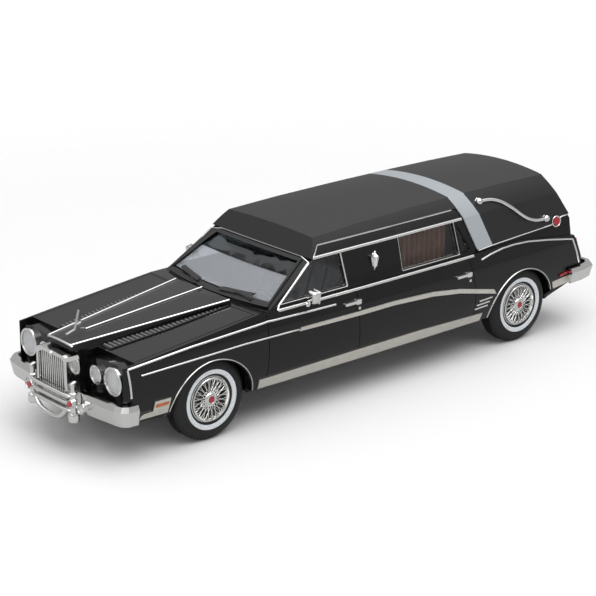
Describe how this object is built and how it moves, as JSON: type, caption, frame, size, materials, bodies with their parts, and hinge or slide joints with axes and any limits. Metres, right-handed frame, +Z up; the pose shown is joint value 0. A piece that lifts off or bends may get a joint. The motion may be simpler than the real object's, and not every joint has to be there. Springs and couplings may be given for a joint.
{
  "type": "hearse scale model",
  "caption": "Scale model of a long black hearse with a vinyl roof, curtained windows and wheels that roll on their axles.",
  "frame": {"origin": "on the ground, in the middle of the overall length and width", "axes": "+X towards the front of the car, +Y to its left, +Z up"},
  "size_m": [0.1404, 0.0434, 0.0374],
  "materials": {
    "amber_lens": "clear amber",
    "axle_steel": "plain steel",
    "band_silver": "satin silver",
    "brushed_trim": "brushed stainless",
    "carpet": "dark grey",
    "chrome": "bright chrome",
    "curtain_cloth": "brown pleated cloth",
    "dash_plastic": "black",
    "deck_trim": "dark",
    "gloss_black": "gloss black paint",
    "lamp_glass": "clear lens",
    "red_enamel": "red",
    "red_lens": "clear red",
    "seal_rubber": "black rubber seal",
    "seat_cloth": "dark grey",
    "tyre": "black rubber",
    "underside_black": "satin black",
    "vent_black": "satin black",
    "vinyl": "black grained vinyl",
    "whitewall": "white band",
    "window_glass": "clear, lightly smoked",
    "wiper_black": "black"
  },
  "bodies": {
    "body": {"arch_mouldings": "chrome", "base_plate": "underside_black", "belt_strips": "chrome", "body_shell": "gloss_black", "bumper_guards": "chrome", "carriage_lamps": "chrome", "casket_deck": "deck_trim", "curtains": "curtain_cloth", "dashboard": "dash_plastic", "door_handles": "chrome", "drip_strips": "chrome", "fender_strips": "chrome", "front_bumper": "chrome", "front_seat": "seat_cloth", "grille_bars": "chrome", "grille_shell": "chrome", "hood_ornament": "chrome", "hood_trim": "chrome", "hood_vents": "vent_black", "interior_floor": "carpet", "lamp_bezels": "chrome", "lamp_lenses": "lamp_glass", "landau_bars": "chrome", "marker_plates": "brushed_trim", "medallions": "red_lens", "mirrors": "chrome", "rear_bumper": "chrome", "rear_glass": "window_glass", "rear_strips": "chrome", "red_markers": "red_lens", "rocker_panels": "brushed_trim", "roof_band": "band_silver", "screen_frame": "seal_rubber", "side_glass": "window_glass", "side_markers": "amber_lens", "steering_wheel": "dash_plastic", "sweep_mouldings": "brushed_trim", "tail_lamps": "red_lens", "vinyl_roof": "vinyl", "window_frames": "chrome", "windscreen": "window_glass", "wipers": "wiper_black"},
    "front_wheels": {"axle_front": "axle_steel", "hub_emblem_front_left": "red_enamel", "hub_emblem_front_right": "red_enamel", "tyre_front_left": "tyre", "tyre_front_right": "tyre", "wheel_front_left": "chrome", "wheel_front_right": "chrome", "whitewall_front_left": "whitewall", "whitewall_front_right": "whitewall"},
    "rear_wheels": {"axle_rear": "axle_steel", "hub_emblem_rear_left": "red_enamel", "hub_emblem_rear_right": "red_enamel", "tyre_rear_left": "tyre", "tyre_rear_right": "tyre", "wheel_rear_left": "chrome", "wheel_rear_right": "chrome", "whitewall_rear_left": "whitewall", "whitewall_rear_right": "whitewall"}
  },
  "joints": [
    {"name": "front_wheels_roll", "type": "hinge", "parent": "body", "child": "front_wheels", "pos_m": [0.0435, 0, 0.0088], "axis": [0, 1, 0], "continuous": true},
    {"name": "rear_wheels_roll", "type": "hinge", "parent": "body", "child": "rear_wheels", "pos_m": [-0.0454, 0, 0.0088], "axis": [0, 1, 0], "continuous": true}
  ]
}
